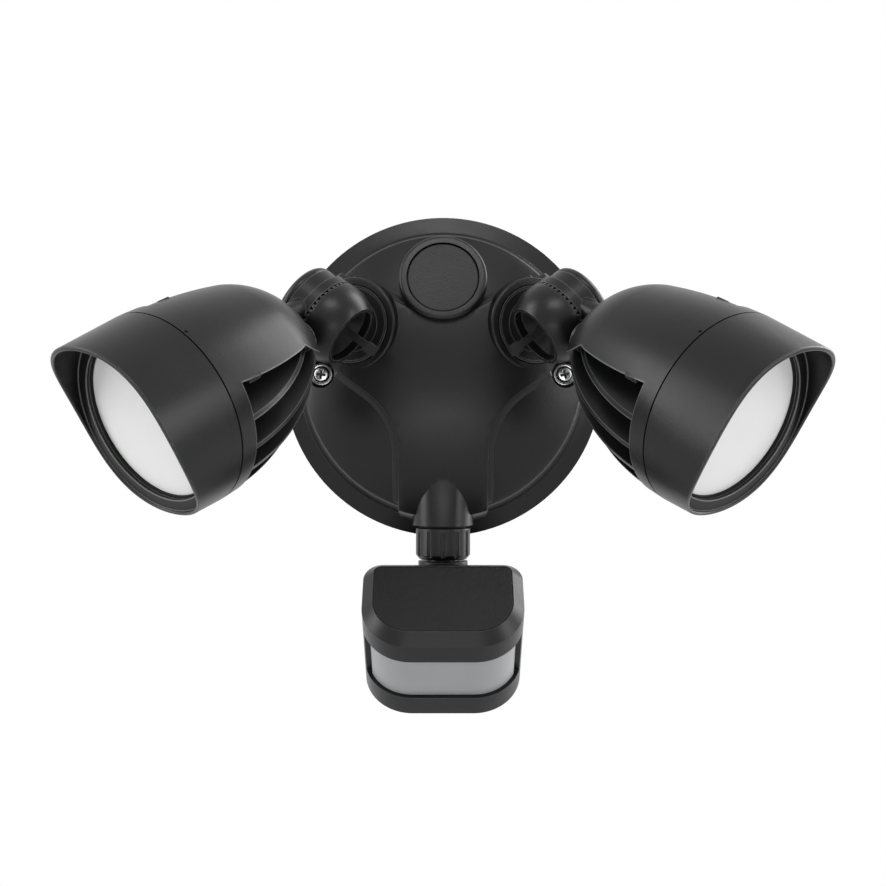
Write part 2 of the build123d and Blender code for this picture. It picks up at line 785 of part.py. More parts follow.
# Drum half of the knuckle with its arm and neck, seated on the end of the housing
with BuildPart() as knuckle_arm:
    with BuildSketch(head_across):
        with Locations((0, head_shift - drum_face + arm_thickness / 2)):
            RectangleRounded(2 * arm_half_width, arm_thickness, arm_round)
    extrude(amount=seam - dome_length + tail_radius / 2)
    with BuildSketch(head_across.offset(ball_swell + neck_gap)):
        Circle(neck_radius)
    extrude(amount=seam - dome_length - ball_swell - neck_gap)
    with BuildSketch(knuckle_section):
        with BuildLine():
            Polyline(
                (0, drum_face),
                (ball_radius, drum_face),
                (ball_radius, drum_face - band_width),
                (drum_radius, drum_face - band_width),
                (drum_radius, drum_end),
                (0, drum_end),
                close=True,
            )
        make_face()
    revolve(axis=tilt_line)
    # Running bore and nut pocket of the tilt bolt
    with BuildSketch(Plane(origin=pivot + tilt_axis * drum_end, x_dir=boss_axis, z_dir=tilt_axis)):
        Circle(bolt_pocket_radius)
    extrude(amount=bolt_pocket_depth, mode=Mode.SUBTRACT)
    with BuildSketch(Plane(origin=pivot + tilt_axis * drum_end, x_dir=boss_axis, z_dir=tilt_axis)):
        Circle(bolt_radius + bolt_clearance)
    extrude(amount=drum_length, mode=Mode.SUBTRACT)
    add(rear_housing.part, mode=Mode.SUBTRACT)
save_pair(knuckle_arm.part, "knuckle_arm")

# Visor: tapered tube with the ledge that holds the glass, its front cut to an S
rim_reach = visor_high + visor_wall
with BuildPart() as visor:
    with BuildSketch(head_section):
        with BuildLine():
            Polyline(
                (head_radius, seam + seam_gap),
                (head_radius - visor_taper, seam + rim_reach),
                (head_radius - visor_taper - visor_wall, seam + rim_reach),
                (head_radius - visor_wall, seam + ledge_front),
                (lens_opening, seam + ledge_front),
                (lens_opening, seam + ledge_front - ledge_thickness),
                (visor_bore, seam + ledge_front - ledge_thickness),
                (visor_bore, seam - spigot_depth),
                (visor_bore + spigot_wall, seam - spigot_depth),
                (visor_bore + spigot_wall, seam + seam_gap),
                close=True,
            )
        make_face()
    revolve(axis=head_line)
    with BuildSketch(head_section):
        with BuildLine():
            rim_curve = Spline(
                (-head_radius, seam + visor_low),
                (-head_radius / 2, seam + visor_low_quarter),
                (0, seam + visor_middle),
                (head_radius / 2, seam + visor_high_quarter),
                (0.8 * head_radius, seam + visor_high),
                (head_radius, seam + visor_tip),
            )
            Polyline(
                rim_curve @ 1,
                (head_radius, seam + 2 * rim_reach),
                (-head_radius, seam + 2 * rim_reach),
                rim_curve @ 0,
            )
        make_face()
    extrude(amount=2 * head_radius, both=True, mode=Mode.SUBTRACT)
    rim_face = visor.faces().sort_by(head_line)[-1]
    fillet(rim_face.edges(), visor_rim_round)
save_pair(visor.part, "visor")

gasket_front = seam + ledge_front - ledge_thickness
glass_front = gasket_front - glass_gasket
glass_back = glass_front - glass_thickness
board_back = seam - chamber_depth

with BuildPart() as lens_gasket:
    with BuildSketch(head_across.offset(glass_front)):
        Circle(visor_bore - slip_gap)
        Circle(lens_opening - glass_gasket, mode=Mode.SUBTRACT)
    extrude(amount=glass_gasket)
save_pair(lens_gasket.part, "lens_gasket")

with BuildPart() as lens:
    with BuildSketch(head_across.offset(glass_back)):
        Circle(visor_bore - slip_gap)
    extrude(amount=glass_thickness)
save_pair(lens.part, "lens")

with BuildPart() as led_board:
    with BuildSketch(head_across.offset(board_back)):
        Circle(chamber_radius - slip_gap)
        with PolarLocations(board_screw_ring, board_screw_count):
            Circle(board_screw_radius, mode=Mode.SUBTRACT)
    extrude(amount=board_thickness)
    with BuildSketch(head_across.offset(board_back + board_thickness)):
        with PolarLocations(led_inner_ring, led_inner_count):
            Rectangle(led_size, led_size)
        with PolarLocations(led_outer_ring, led_outer_count):
            Rectangle(led_size, led_size)
    extrude(amount=led_height)
save_pair(led_board.part, "led_board")

with BuildPart() as reflector:
    with BuildSketch(head_section):
        with BuildLine():
            Polyline(
                (reflector_throat, board_back + board_thickness),
                (visor_bore - slip_gap - reflector_wall, glass_back),
                (visor_bore - slip_gap, glass_back),
                (reflector_throat + reflector_wall, board_back + board_thickness),
                close=True,
            )
        make_face()
    revolve(axis=head_line)
save_pair(reflector.part, "reflector")

with BuildPart() as board_screws:
    with BuildSketch(head_across.offset(board_back + board_thickness - board_screw_length)):
        with PolarLocations(board_screw_ring, board_screw_count):
            Circle(board_screw_radius)
    extrude(amount=board_screw_length)
    with BuildSketch(head_across.offset(board_back + board_thickness)):
        with PolarLocations(board_screw_ring, board_screw_count):
            Circle(board_screw_head)
    extrude(amount=board_screw_radius)
save_pair(board_screws.part, "board_screws")

# Sensor neck: washer, lock nut, stem and its clip
with BuildPart() as neck_washer:
    with BuildSketch(neck_plane.offset(hood_bottom)):
        Circle(neck_washer_radius)
        Circle(spigot_radius, mode=Mode.SUBTRACT)
    extrude(amount=-neck_washer_height)
save(neck_washer.part, "neck_washer")

with BuildPart() as lock_nut:
    with BuildSketch(neck_plane.offset(lock_nut_bottom)):
        Circle(lock_nut_radius)
    extrude(amount=lock_nut_top - lock_nut_bottom)
    chamfer(lock_nut.edges().group_by(Axis.Z)[0], lock_nut_taper, lock_nut_taper * 0.8)
    with BuildSketch(neck_plane.offset(lock_nut_bottom)):
        with PolarLocations(lock_nut_radius + flute_radius / 3, lock_nut_flutes):
            Circle(flute_radius)
    extrude(amount=lock_nut_top - lock_nut_bottom - flute_radius, mode=Mode.SUBTRACT)
    with BuildSketch(neck_plane.offset(lock_nut_bottom)):
        Circle(spigot_radius + lock_nut_fit)
    extrude(amount=lock_nut_top - lock_nut_bottom, mode=Mode.SUBTRACT)
save(lock_nut.part, "lock_nut")

with BuildPart() as sensor_stem:
    with BuildSketch(neck_plane.offset(collar_bottom)):
        Circle(sensor_stem_radius)
    extrude(amount=sensor_stem_top - collar_bottom)
    with BuildSketch(neck_plane.offset(collar_bottom)):
        Circle(collar_radius)
    extrude(amount=collar_top - collar_bottom)
    with BuildSketch(Plane(origin=hinge, x_dir=(0, 1, 0), z_dir=(1, 0, 0))):
        Circle(lug_radius)
        with Locations((0, (collar_bottom - hinge_z) / 2)):
            Rectangle(2 * lug_radius, collar_bottom - hinge_z)
    extrude(amount=lug_half_width, both=True)
    with BuildSketch(Plane(origin=hinge, x_dir=(0, 1, 0), z_dir=(1, 0, 0))):
        Circle(hinge_pin_radius + hinge_fit)
    extrude(amount=2 * lug_half_width, both=True, mode=Mode.SUBTRACT)
    with BuildSketch(neck_plane.offset(collar_bottom)):
        Circle(sensor_stem_bore)
    extrude(amount=sensor_stem_top - collar_bottom, mode=Mode.SUBTRACT)
save(sensor_stem.part, "sensor_stem")

with BuildPart() as stem_clip:
    with BuildSketch(neck_plane.offset(socket_top + nut_gap)):
        Circle(clip_radius)
        Circle(sensor_stem_radius, mode=Mode.SUBTRACT)
    extrude(amount=clip_thickness)
save(stem_clip.part, "stem_clip")


# Plan of the sensor, drawn in on all sides by a margin
def sensor_plan(margin):
    with BuildSketch() as plan:
        length = panel_length + 2 * sensor_chamfer - 2 * margin
        with Locations((0, -panel_length / 2)):
            Rectangle(sensor_width - 2 * margin, length)
        fillet(plan.vertices().group_by(Axis.Y)[0], sensor_front_radius - margin)
        fillet(plan.vertices().group_by(Axis.Y)[-1], max(sensor_rear_radius - margin, sensor_rear_radius / 3))
    return plan.sketch


window_top = -cover_height
window_bottom = window_top - window_height
sensor_bottom = window_bottom - lip_height

with BuildPart() as sensor_cover:
    with BuildSketch(sensor_plane.offset(window_top)):
        add(sensor_plan(0))
    extrude(amount=cover_height)
    chamfer(sensor_cover.faces().sort_by(Axis(panel_back, sensor_up))[-1].edges(), sensor_chamfer)
    with BuildSketch(sensor_plane.offset(window_top)):
        add(sensor_plan(sensor_chamfer + cover_wall))
    extrude(amount=cover_height - panel_thickness - cover_wall, mode=Mode.SUBTRACT)
    with BuildSketch(sensor_plane):
        add(sensor_plan(sensor_chamfer + panel_inset))
    extrude(amount=-panel_thickness, mode=Mode.SUBTRACT)
save(sensor_cover.part, "sensor_cover")

with BuildPart() as sensor_panel:
    with BuildSketch(sensor_plane):
        add(sensor_plan(sensor_chamfer + 2 * panel_inset))
    extrude(amount=-panel_thickness)
save(sensor_panel.part, "sensor_panel")

with BuildPart() as sensor_base:
    with BuildSketch(sensor_plane.offset(window_top)):
        add(sensor_plan(0))
    extrude(amount=-window_height - lip_height)
    chamfer(sensor_base.faces().sort_by(Axis(panel_back, sensor_up))[0].edges(), foot_round)
    # Window opening in the front
    with BuildSketch(sensor_plane.offset(window_top)):
        with Locations((0, -window_back - sensor_width / 2)):
            Rectangle(2 * sensor_width, sensor_width)
    extrude(amount=-window_height, mode=Mode.SUBTRACT)
    # Clevis ears behind
    for side in (-1, 1):
        with BuildSketch(sensor_side.offset(side * (lug_half_width + ear_gap))):
            with Locations((hinge_back, hinge_up)):
                Circle(lug_radius)
            ear_reach = hinge_back - sensor_chamfer
            with Locations((hinge_back - ear_reach / 2, hinge_up)):
                Rectangle(ear_reach, 2 * lug_radius)
        extrude(amount=side * ear_thickness)
    with BuildSketch(Plane(origin=hinge, x_dir=(0, 1, 0), z_dir=(1, 0, 0))):
        Circle(hinge_pin_radius)
    extrude(amount=sensor_width, both=True, mode=Mode.SUBTRACT)
    # Pockets of the two dials underneath
    with BuildSketch(sensor_plane.offset(sensor_bottom)):
        with Locations((0, -dial_back)):
            with GridLocations(dial_spacing, 0, 2, 1):
                Circle(dial_radius + dial_gap)
    extrude(amount=dial_sunk, mode=Mode.SUBTRACT)
save(sensor_base.part, "sensor_base")

with BuildPart() as sensor_window:
    with BuildSketch(sensor_plane.offset(window_bottom)):
        add(sensor_plan(window_inset))
        add(sensor_plan(window_inset + window_wall), mode=Mode.SUBTRACT)
        with Locations((0, -window_back - window_gap + sensor_width / 2)):
            Rectangle(2 * sensor_width, sensor_width, mode=Mode.SUBTRACT)
    extrude(amount=window_height)
save(sensor_window.part, "sensor_window")

window_middle = (window_top + window_bottom) / 2
board_front = Plane(
    origin=panel_back - sensor_rear * window_back + sensor_up * window_middle,
    x_dir=(1, 0, 0),
    z_dir=-sensor_rear,
)
with BuildPart() as sensor_board:
    with BuildSketch(board_front):
        Rectangle(sensor_board_width, sensor_board_height)
    extrude(amount=sensor_board_thickness)
save(sensor_board.part, "sensor_board")

with BuildPart() as pir_element:
    with BuildSketch(board_front.offset(sensor_board_thickness)):
        Circle(pir_radius)
    extrude(amount=pir_height)
    fillet(pir_element.edges().sort_by(Axis(panel_back, -sensor_rear))[-1], pir_radius / 8)
save(pir_element.part, "pir_element")

for dial_name, dial_side in (("time_dial", -1), ("light_dial", 1)):
    dial_seat = sensor_plane.offset(sensor_bottom + dial_sunk - dial_gap)
    with BuildPart() as dial:
        with BuildSketch(dial_seat):
            with Locations((dial_side * dial_spacing / 2, -dial_back)):
                Circle(dial_radius)
        extrude(amount=-dial_height)
        with BuildSketch(dial_seat.offset(-dial_height)):
            with Locations((dial_side * dial_spacing / 2, -dial_back)):
                Rectangle(dial_slot, 2 * dial_radius)
        extrude(amount=dial_slot, mode=Mode.SUBTRACT)
    save(dial.part, dial_name)

with BuildPart() as hinge_pin:
    pin_half = lug_half_width + ear_gap + ear_thickness
    with BuildSketch(Plane(origin=hinge, x_dir=(0, 1, 0), z_dir=(1, 0, 0))):
        Circle(hinge_pin_radius)
    extrude(amount=pin_half, both=True)
    for side in (-1, 1):
        with BuildSketch(Plane(origin=hinge, x_dir=(0, 1, 0), z_dir=(1, 0, 0)).offset(side * pin_half)):
            Circle(pin_head)
        extrude(amount=side * pin_head_height)
save(hinge_pin.part, "hinge_pin")

for name, vector in (("boss_axis", boss_axis), ("tilt_axis", tilt_axis), ("head_axis", head_axis)):
    print(name, round(vector.X, 5), round(vector.Y, 5), round(vector.Z, 5))
print("boss centre", boss_centre, "pivot", pivot, "hinge", hinge)
dial_middle = panel_back - sensor_rear * dial_back + sensor_up * sensor_bottom
print("dials", dial_spacing / 2, dial_middle)
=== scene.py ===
import json

import bpy
import numpy as np
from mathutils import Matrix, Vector


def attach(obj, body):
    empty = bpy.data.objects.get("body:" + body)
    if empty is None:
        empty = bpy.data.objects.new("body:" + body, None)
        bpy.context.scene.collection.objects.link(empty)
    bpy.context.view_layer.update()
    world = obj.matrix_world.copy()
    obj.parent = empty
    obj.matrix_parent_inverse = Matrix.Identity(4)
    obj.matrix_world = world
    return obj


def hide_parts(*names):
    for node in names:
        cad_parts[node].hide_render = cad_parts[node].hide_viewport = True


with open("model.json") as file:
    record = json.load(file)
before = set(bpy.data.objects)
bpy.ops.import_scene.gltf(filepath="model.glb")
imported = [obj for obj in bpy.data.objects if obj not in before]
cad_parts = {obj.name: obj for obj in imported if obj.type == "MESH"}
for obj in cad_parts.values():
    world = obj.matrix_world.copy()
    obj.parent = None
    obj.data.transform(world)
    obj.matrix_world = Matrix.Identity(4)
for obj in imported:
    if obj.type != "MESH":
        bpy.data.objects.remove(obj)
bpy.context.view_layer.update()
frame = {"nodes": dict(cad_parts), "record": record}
scene = bpy.context.scene
nodes = frame["nodes"]
print("frame loaded:", len(nodes), "solid nodes")


# A math or vector math node with its operation
def mathNode(tree, kind, operation):
    node = tree.nodes.new(kind)
    node.operation = operation
    return node


# A node that takes low to nought and high to one
def rangeNode(tree, low, high):
    node = tree.nodes.new("ShaderNodeMapRange")
    node.inputs["From Min"].default_value = low
    node.inputs["From Max"].default_value = high
    return node


# A colour mix, with a plain colour for its second tone
def mixNode(tree, second):
    node = tree.nodes.new("ShaderNodeMix")
    node.data_type = "RGBA"
    node.inputs["B"].default_value = (*second, 1.0)
    return node


# An empty group with named inputs and outputs
def newGroup(name, inputs, outputs):
    group = bpy.data.node_groups.new(name, "ShaderNodeTree")
    for label in inputs:
        group.interface.new_socket(label, in_out="INPUT", socket_type="NodeSocketFloat")
    for label in outputs:
        group.interface.new_socket(label, in_out="OUTPUT", socket_type="NodeSocketFloat")
    return group


# A group placed in a material, with a value for each of its inputs
def placeGroup(tree, group, values):
    node = tree.nodes.new("ShaderNodeGroup")
    node.node_tree = group
    for label, value in values.items():
        node.inputs[label].default_value = value
    return node


# A new material with its tree and its shader
def newMaterial(name):
    material = bpy.data.materials.new(name)
    material.use_nodes = True
    tree = material.node_tree
    return material, tree, tree.nodes["Principled BSDF"]


# A group with one fine grain and one broad mottle, both from noise on object coordinates
def buildGrainGroup():
    noise = dict(grainDetail=3.0, mottleDetail=4.0, mottleLow=0.3, mottleHigh=0.7)
    group = newGroup(
        "castGrain",
        ("Grain Scale", "Mottle Scale", "Roughness Low", "Roughness High"),
        ("Height", "Roughness", "Mottle"),
    )
    link = group.links.new
    come = group.nodes.new("NodeGroupInput")
    go = group.nodes.new("NodeGroupOutput")
    where = group.nodes.new("ShaderNodeTexCoord")
    grain = group.nodes.new("ShaderNodeTexNoise")
    grain.inputs["Detail"].default_value = noise["grainDetail"]
    mottle = group.nodes.new("ShaderNodeTexNoise")
    mottle.inputs["Detail"].default_value = noise["mottleDetail"]
    spread = rangeNode(group, noise["mottleLow"], noise["mottleHigh"])
    link(where.outputs["Object"], grain.inputs["Vector"])
    link(where.outputs["Object"], mottle.inputs["Vector"])
    link(come.outputs["Grain Scale"], grain.inputs["Scale"])
    link(come.outputs["Mottle Scale"], mottle.inputs["Scale"])
    link(mottle.outputs["Fac"], spread.inputs["Value"])
    link(come.outputs["Roughness Low"], spread.inputs["To Min"])
    link(come.outputs["Roughness High"], spread.inputs["To Max"])
    link(grain.outputs["Fac"], go.inputs["Height"])
    link(spread.outputs["Result"], go.inputs["Roughness"])
    link(mottle.outputs["Fac"], go.inputs["Mottle"])
    return group


castGrain = buildGrainGroup()


# A group that tells edges from faces, for a painted highlight along them: how far a rounded normal turns away
# from the true one.
# The joint between visor and housing stays dark: near it, measured along the heads' axis, the painted
# highlight fades out.
def buildEdgeGroup():
    highlight = dict(samples=6, faceMatch=0.985, edgeMatch=0.85)
    joint = dict(headAxis=(0.58037, -0.70094, -0.41455), along=0.12692, clear=0.0014, highlit=0.003)
    group = newGroup("edgeWear", ("Width",), ("Edge",))
    link = group.links.new
    come = group.nodes.new("NodeGroupInput")
    go = group.nodes.new("NodeGroupOutput")
    rounded = group.nodes.new("ShaderNodeBevel")
    rounded.samples = highlight["samples"]
    true = group.nodes.new("ShaderNodeNewGeometry")
    match = mathNode(group, "ShaderNodeVectorMath", "DOT_PRODUCT")
    spread = rangeNode(group, highlight["faceMatch"], highlight["edgeMatch"])
    link(come.outputs["Width"], rounded.inputs["Radius"])
    link(rounded.outputs["Normal"], match.inputs[0])
    link(true.outputs["Normal"], match.inputs[1])
    link(match.outputs["Value"], spread.inputs["Value"])
    where = group.nodes.new("ShaderNodeTexCoord")
    apart = group.nodes.new("ShaderNodeSeparateXYZ")
    side = mathNode(group, "ShaderNodeMath", "ABSOLUTE")  # both heads measured as the right one
    mirrored = group.nodes.new("ShaderNodeCombineXYZ")
    along = mathNode(group, "ShaderNodeVectorMath", "DOT_PRODUCT")
    along.inputs[1].default_value = joint["headAxis"]
    off = mathNode(group, "ShaderNodeMath", "SUBTRACT")
    off.inputs[1].default_value = joint["along"]
    far = mathNode(group, "ShaderNodeMath", "ABSOLUTE")
    fade = rangeNode(group, joint["clear"], joint["highlit"])
    kept = mathNode(group, "ShaderNodeMath", "MULTIPLY")
    link(where.outputs["Object"], apart.inputs["Vector"])
    link(apart.outputs["X"], side.inputs[0])
    link(side.outputs[0], mirrored.inputs["X"])
    link(apart.outputs["Y"], mirrored.inputs["Y"])
    link(apart.outputs["Z"], mirrored.inputs["Z"])
    link(mirrored.outputs["Vector"], along.inputs[0])
    link(along.outputs["Value"], off.inputs[0])
    link(off.outputs[0], far.inputs[0])
    link(far.outputs[0], fade.inputs["Value"])
    link(spread.outputs["Result"], kept.inputs[0])
    link(fade.outputs["Result"], kept.inputs[1])
    link(kept.outputs[0], go.inputs["Edge"])
    return group


edgeWear = buildEdgeGroup()


# A finish: two close tones mixed by the mottle, rough by the mottle, raised by the grain
def makeFinish(name, given):
    look = dict(relief=0.0001, metal=0.0, specular=0.5) | given  # plain values first, then the finish's own
    material, tree, shader = newMaterial(name)
    link = tree.links.new
    grain = placeGroup(tree, castGrain, {
        "Grain Scale": look["grainScale"],
        "Mottle Scale": look["mottleScale"],
        "Roughness Low": look["rough"][0],
        "Roughness High": look["rough"][1],
    })
    tone = mixNode(tree, look["light"])
    tone.inputs["A"].default_value = (*look["dark"], 1.0)
    link(grain.outputs["Mottle"], tone.inputs["Factor"])
    colour = tone.outputs["Result"]
    if "edge" in look:  # painted highlight: the coat is paler along the edges
        highlight = placeGroup(tree, edgeWear, {"Width": look["edgeWidth"]})
        highlit = mixNode(tree, look["edge"])
        link(highlight.outputs["Edge"], highlit.inputs["Factor"])
        link(colour, highlit.inputs["A"])
        colour = highlit.outputs["Result"]
    bump = tree.nodes.new("ShaderNodeBump")
    bump.inputs["Strength"].default_value = look["bump"]
    bump.inputs["Distance"].default_value = look["relief"]
    link(colour, shader.inputs["Base Color"])
    link(grain.outputs["Roughness"], shader.inputs["Roughness"])
    link(grain.outputs["Height"], bump.inputs["Height"])
    link(bump.outputs["Normal"], shader.inputs["Normal"])
    shader.inputs["Metallic"].default_value = look["metal"]
    shader.inputs["Specular IOR Level"].default_value = look["specular"]
    return material


blackPaint = dict(
    dark=(0.004, 0.004, 0.0043), light=(0.0075, 0.0075, 0.008), rough=(0.3, 0.37),
    grainScale=2600, mottleScale=50, bump=0.4, specular=0.27,
)
# The edge tones are painted highlights along the edges, palest on the visor rims.
finishes = {
    "blackCoat": dict(blackPaint, edge=(0.12, 0.12, 0.122), edgeWidth=0.0007),
    "castCoat": blackPaint,
    "visorCoat": dict(blackPaint, edge=(0.26, 0.26, 0.264), edgeWidth=0.0009),
    "blackMoulding": dict(
        blackPaint, grainScale=2200, mottleScale=70, edge=(0.06, 0.06, 0.062), edgeWidth=0.0005,
    ),
    "grainedMoulding": dict(
        dark=(0.005, 0.005, 0.0053), light=(0.009, 0.009, 0.0095), rough=(0.44, 0.54),
        grainScale=1700, mottleScale=70, bump=1.0, specular=0.27, relief=0.00022,
    ),
    "capMoulding": dict(
        dark=(0.013, 0.013, 0.0135), light=(0.021, 0.021, 0.022), rough=(0.4, 0.5),
        grainScale=1500, mottleScale=70, bump=1.0, specular=0.3, relief=0.00022,
    ),
    "blackOxide": dict(
        dark=(0.018, 0.018, 0.019), light=(0.032, 0.032, 0.034), rough=(0.28, 0.4),
        grainScale=1500, mottleScale=90, bump=0.2, specular=0.45,
    ),
    "zincPlate": dict(
        dark=(0.74, 0.74, 0.75), light=(0.86, 0.86, 0.87), rough=(0.22, 0.32),
        grainScale=1200, mottleScale=200, bump=0.15, metal=1.0,
    ),
    "sealRubber": dict(
        dark=(0.006, 0.006, 0.006), light=(0.01, 0.01, 0.01), rough=(0.65, 0.8),
        grainScale=1800, mottleScale=60, bump=0.4, specular=0.2,
    ),
    "frostedDiffuser": dict(
        dark=(0.76, 0.76, 0.76), light=(0.83, 0.83, 0.83), rough=(0.3, 0.4),
        grainScale=1800, mottleScale=30, bump=0.05,
    ),
    "whiteReflector": dict(
        dark=(0.8, 0.8, 0.79), light=(0.86, 0.86, 0.85), rough=(0.2, 0.28),
        grainScale=900, mottleScale=60, bump=0.05,
    ),
    "whiteBoard": dict(
        dark=(0.72, 0.72, 0.7), light=(0.8, 0.8, 0.78), rough=(0.4, 0.5),
        grainScale=1400, mottleScale=120, bump=0.1,
    ),
    "greenBoard": dict(
        dark=(0.01, 0.08, 0.03), light=(0.02, 0.13, 0.05), rough=(0.3, 0.4),
        grainScale=900, mottleScale=260, bump=0.2,
    ),
    "greyCase": dict(
        dark=(0.5, 0.5, 0.49), light=(0.58, 0.58, 0.56), rough=(0.45, 0.55),
        grainScale=1600, mottleScale=80, bump=0.3,
    ),
    "dialMoulding": dict(
        dark=(0.02, 0.02, 0.02), light=(0.03, 0.03, 0.03), rough=(0.4, 0.5),
        grainScale=1600, mottleScale=80, bump=0.2,
    ),
    "greyWindow": dict(
        dark=(0.27, 0.275, 0.28), light=(0.33, 0.335, 0.34), rough=(0.32, 0.4),
        grainScale=1400, mottleScale=40, bump=0.08,
    ),
}
finish = {name: makeFinish(name, look) for name, look in finishes.items()}

slotFinish = {
    "black_casting": "blackCoat",
    "black_plastic": "blackMoulding",
    "black_steel": "blackOxide",
    "steel": "zincPlate",
    "rubber": "sealRubber",
    "diffuser": "frostedDiffuser",
    "reflector": "whiteReflector",
    "light_board": "whiteBoard",
    "circuit_board": "greenBoard",
    "driver_case": "greyCase",
    "dial_plastic": "dialMoulding",
    "sensor_window": "greyWindow",
}
castNodes = ("canopy", "canopy_rim", "canopy_neck")  # one casting, with rounds of its own
nodeFinish = {
    **dict.fromkeys(castNodes, "castCoat"),
    "left_visor": "visorCoat",
    "right_visor": "visorCoat",
    "sensor_panel": "grainedMoulding",
    "blank_cap": "capMoulding",
}
for row in frame["record"]["subparts"]:
    mesh = nodes[row["node"]].data
    mesh.materials.clear()
    mesh.materials.append(finish[nodeFinish.get(row["node"], slotFinish[row["material_slot"]])])
print("finishes made and put on:", len(finish))


# Edge finish of the solids: doubles joined, flat faces made whole, then a narrow round on every edge.
# The casting only has its sharp edges parted and its normals evened.
def roundEdges():
    edge = dict(
        join=0.00001, flat=np.radians(0.1), sharp=np.radians(30.0), broad=0.0005, narrow=0.0002, segments=2,
    )
    broadNodes = (
        "visor", "rear_housing", "knuckle_arm", "knuckle_cap", "turret",
        "sensor_cover", "sensor_base", "lock_nut",
    )
    for name, node in nodes.items():
        join = node.modifiers.new("joinDoubles", "WELD")
        join.merge_threshold = edge["join"]
        if name in castNodes:
            split = node.modifiers.new("partSharp", "EDGE_SPLIT")
            split.split_angle = edge["sharp"]
            even = node.modifiers.new("evenNormals", "WEIGHTED_NORMAL")
            even.mode = "CORNER_ANGLE"
            continue
        whole = node.modifiers.new("wholeFaces", "DECIMATE")
        whole.decimate_type = "DISSOLVE"
        whole.angle_limit = edge["flat"]
        around = node.modifiers.new("edgeRound", "BEVEL")
        around.width = edge["broad"] if name.endswith(broadNodes) else edge["narrow"]
        around.segments = edge["segments"]
        around.limit_method = "ANGLE"
        around.angle_limit = edge["sharp"]
        around.miter_outer = "MITER_ARC"
        even = node.modifiers.new("evenNormals", "WEIGHTED_NORMAL")
        even.mode = "FACE_AREA"


roundEdges()
print("edges rounded")


# One mesh object from grids of points (rows, columns, 3) in millimetres, each closed round its columns.
# The points that lie on each other at a pole are joined.
def ringMesh(name, grids):
    ring = dict(perMetre=1000, poleJoin=0.000001)
    corners = []
    start = 0
    for grid in grids:
        rows, columns = grid.shape[:2]
        low = np.arange(rows - 1)[:, None] * columns
        left = np.arange(columns)[None, :]
        right = (left + 1) % columns
        quad = np.stack([low + left, low + right, low + columns + right, low + columns + left], axis=-1)
        corners.append(quad.reshape(-1, 4) + start)
        start += rows * columns
    points = np.concatenate([grid.reshape(-1, 3) for grid in grids]) / ring["perMetre"]
    mesh = bpy.data.meshes.new(name)
    mesh.from_pydata(points.tolist(), [], np.concatenate(corners).tolist())
    mesh.polygons.foreach_set("use_smooth", np.ones(len(mesh.polygons), dtype=bool))
    item = bpy.data.objects.new(name, mesh)
    join = item.modifiers.new("joinDoubles", "WELD")
    join.merge_threshold = ring["poleJoin"]
    scene.collection.objects.link(item)
    return item


